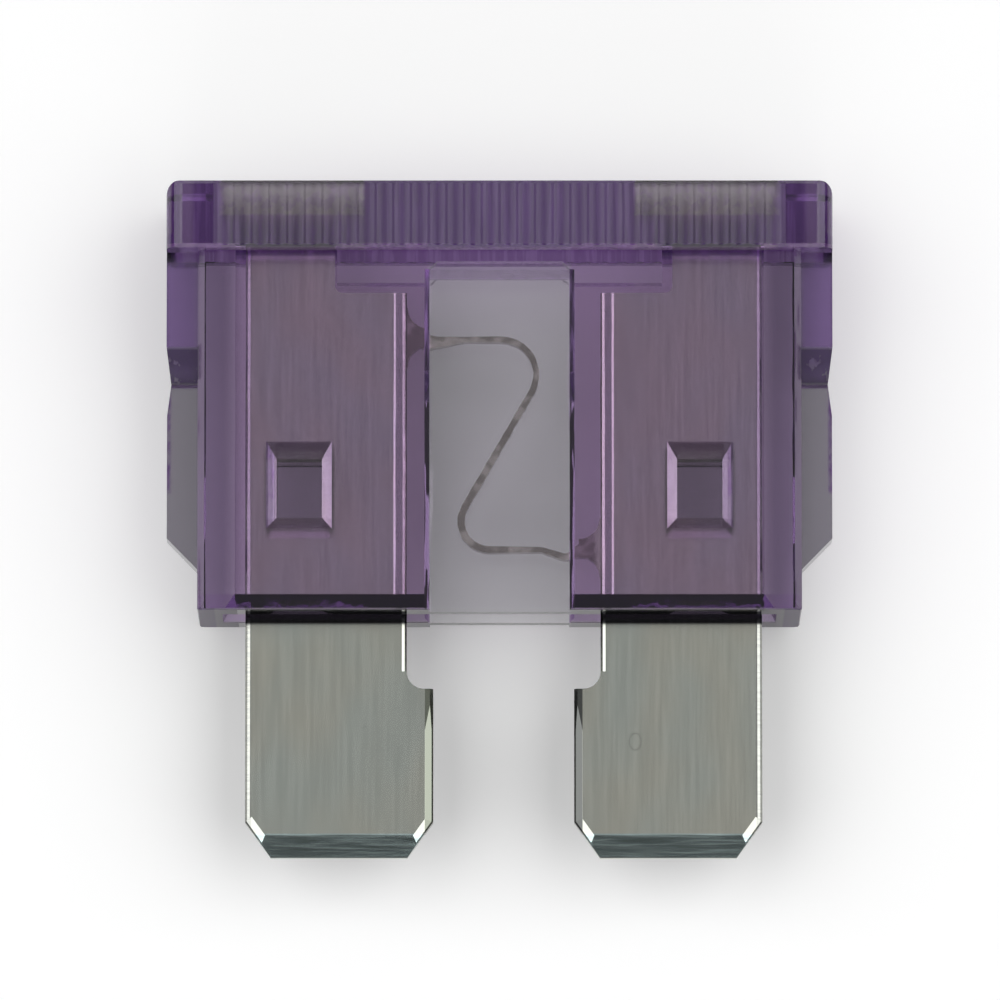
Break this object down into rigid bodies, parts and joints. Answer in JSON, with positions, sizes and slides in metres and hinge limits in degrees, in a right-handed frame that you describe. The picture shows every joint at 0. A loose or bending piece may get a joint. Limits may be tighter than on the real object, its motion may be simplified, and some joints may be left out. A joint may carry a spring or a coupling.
{
  "type": "automotive blade fuse",
  "caption": "Regular-size blade fuse: clear violet moulded housing with a ribbed head over a stamped zinc element with two flat blades and a thin bent link.",
  "frame": {"origin": "middle of the fuse's outline, at the height of the head's back face, on which it lies", "axes": "+X across both blades, +Y from the blade tips to the head, +Z from the back face to the front face"},
  "size_m": [0.019, 0.0192, 0.0051],
  "materials": {
    "violet_plastic": "clear violet, moulded, glossy",
    "zinc_strip": "tinned zinc strip, faintly brushed"
  },
  "bodies": {
    "root": {"housing": "violet_plastic", "fuse_element": "zinc_strip"}
  },
  "joints": []
}
